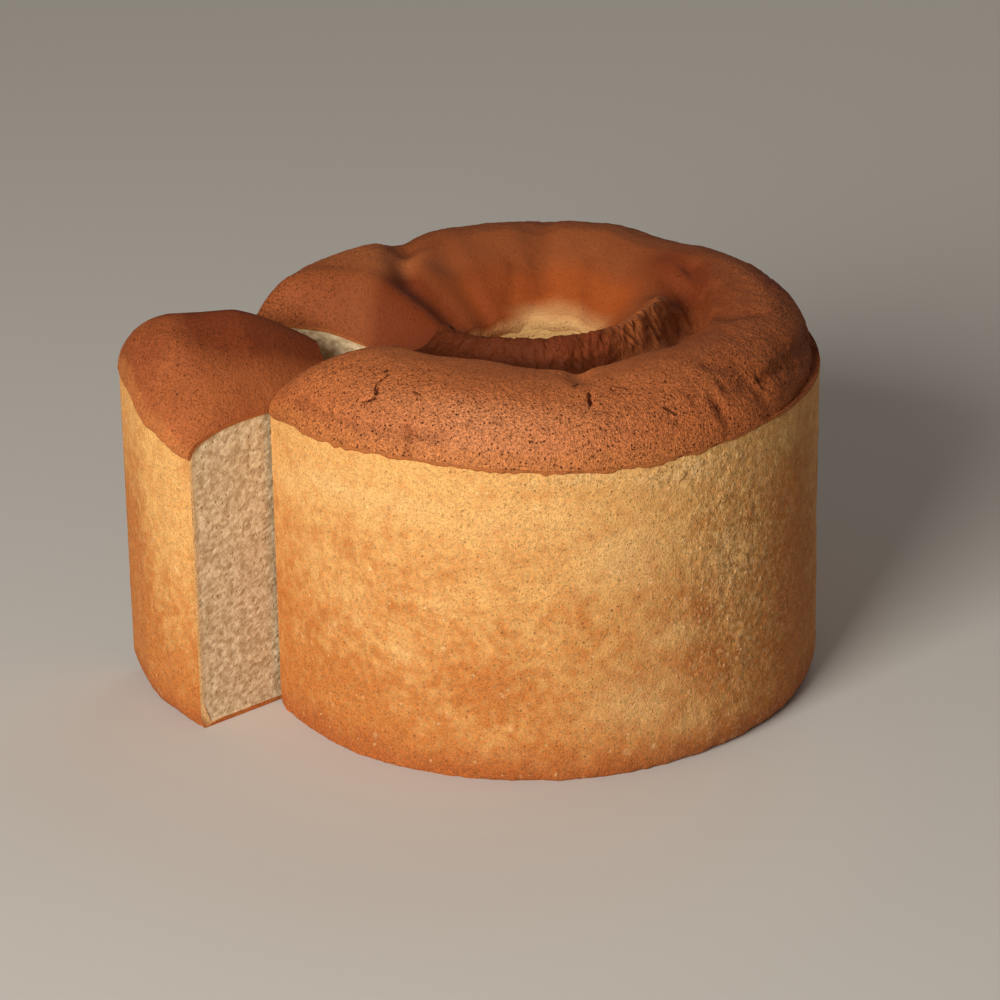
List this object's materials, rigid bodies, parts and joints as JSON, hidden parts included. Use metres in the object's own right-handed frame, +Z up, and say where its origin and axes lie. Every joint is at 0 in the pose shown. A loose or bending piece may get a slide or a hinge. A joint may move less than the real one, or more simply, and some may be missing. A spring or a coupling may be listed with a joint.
{
  "type": "chiffon cake",
  "caption": "Tall ring-shaped sponge cake with a domed brown crust, a hole down its middle, and a wedge cut and drawn part way out.",
  "frame": {"origin": "middle of the footprint's box, on the surface that the cake stands on; the cake's own axis is 19.6 mm along +X and 0.15 mm along -Y from it", "axes": "+Z up along the tube hole; +X to the right in the picture, away from the drawn-out wedge; +Y away from the camera"},
  "size_m": [0.1902, 0.1521, 0.1075],
  "materials": {
    "sponge": "soft baked sponge, golden sides, red-brown porous crust, pale crumb where cut"
  },
  "bodies": {
    "root": {"cake": "sponge", "slice": "sponge"}
  },
  "joints": []
}
